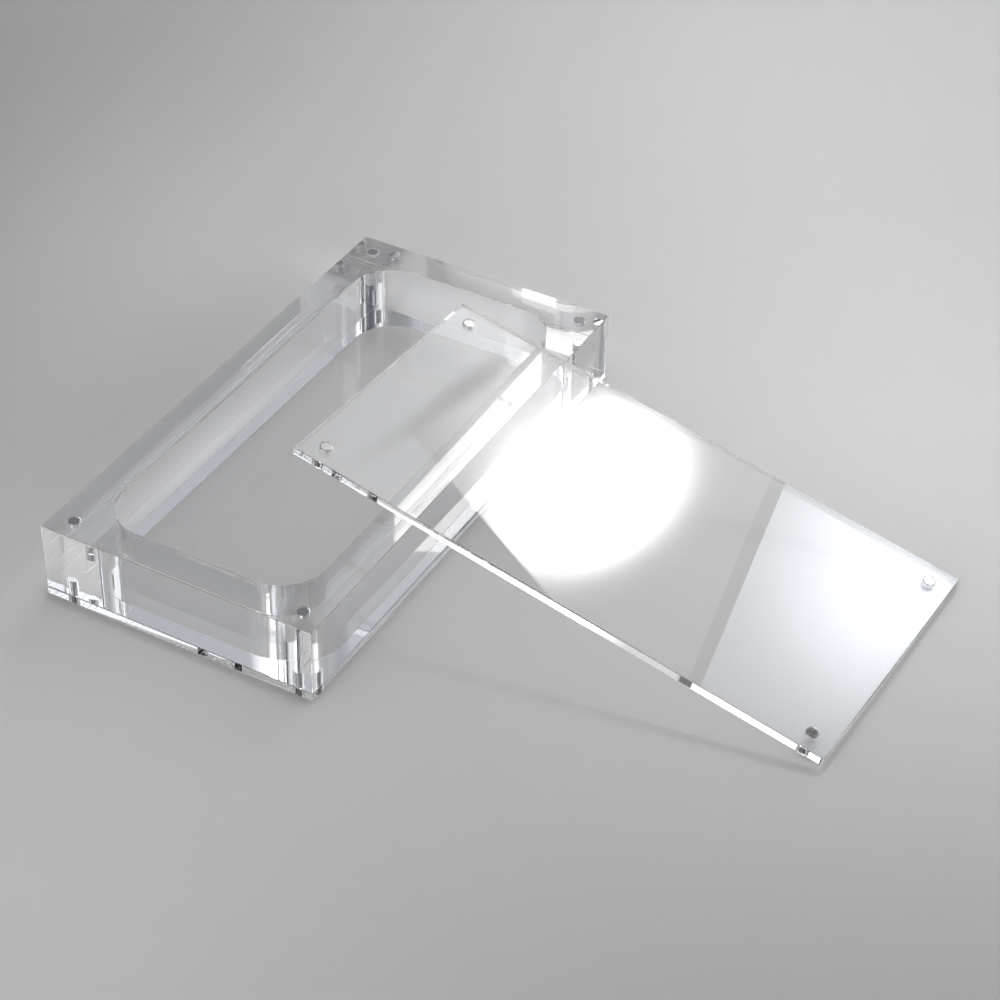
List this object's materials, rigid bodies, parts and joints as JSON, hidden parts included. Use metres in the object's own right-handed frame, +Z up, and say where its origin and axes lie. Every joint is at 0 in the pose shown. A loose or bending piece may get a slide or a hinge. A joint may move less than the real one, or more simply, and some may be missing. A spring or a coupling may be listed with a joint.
{
  "type": "console storage box",
  "caption": "Clear acrylic storage box for a handheld console: a thick milled frame on a base plate, with a magnet-held lid plate taken off and leaning on its right wall.",
  "frame": {"origin": "middle of the base plate's underside, on the table", "axes": "+X to the box's right, where the lid leans, +Y along the box's length to its back, +Z up"},
  "size_m": [0.251, 0.195, 0.039],
  "materials": {
    "clear_acrylic": "clear cast acrylic, polished on every face and edge",
    "nickel_magnet": "bright nickel plate"
  },
  "bodies": {
    "base": {"base_plate": "clear_acrylic", "base_magnet_front_left": "nickel_magnet", "base_magnet_front_right": "nickel_magnet", "base_magnet_back_right": "nickel_magnet", "base_magnet_back_left": "nickel_magnet"},
    "frame": {"frame": "clear_acrylic", "frame_base_magnet_front_left": "nickel_magnet", "frame_base_magnet_front_right": "nickel_magnet", "frame_base_magnet_back_right": "nickel_magnet", "frame_base_magnet_back_left": "nickel_magnet", "frame_top_magnet_front_left": "nickel_magnet", "frame_top_magnet_front_right": "nickel_magnet", "frame_top_magnet_back_right": "nickel_magnet", "frame_top_magnet_back_left": "nickel_magnet"},
    "lid": {"lid_plate": "clear_acrylic", "lid_magnet_front_left": "nickel_magnet", "lid_magnet_front_right": "nickel_magnet", "lid_magnet_back_right": "nickel_magnet", "lid_magnet_back_left": "nickel_magnet"}
  },
  "joints": [
    {"name": "frame_lift", "type": "slide", "parent": "base", "child": "frame", "axis": [0, 0, 1], "range_m": [0, 0.06]},
    {"name": "lid_lift", "type": "slide", "parent": "frame", "child": "lid", "axis": [0, 0, 1], "range_m": [0, 0.1]}
  ]
}
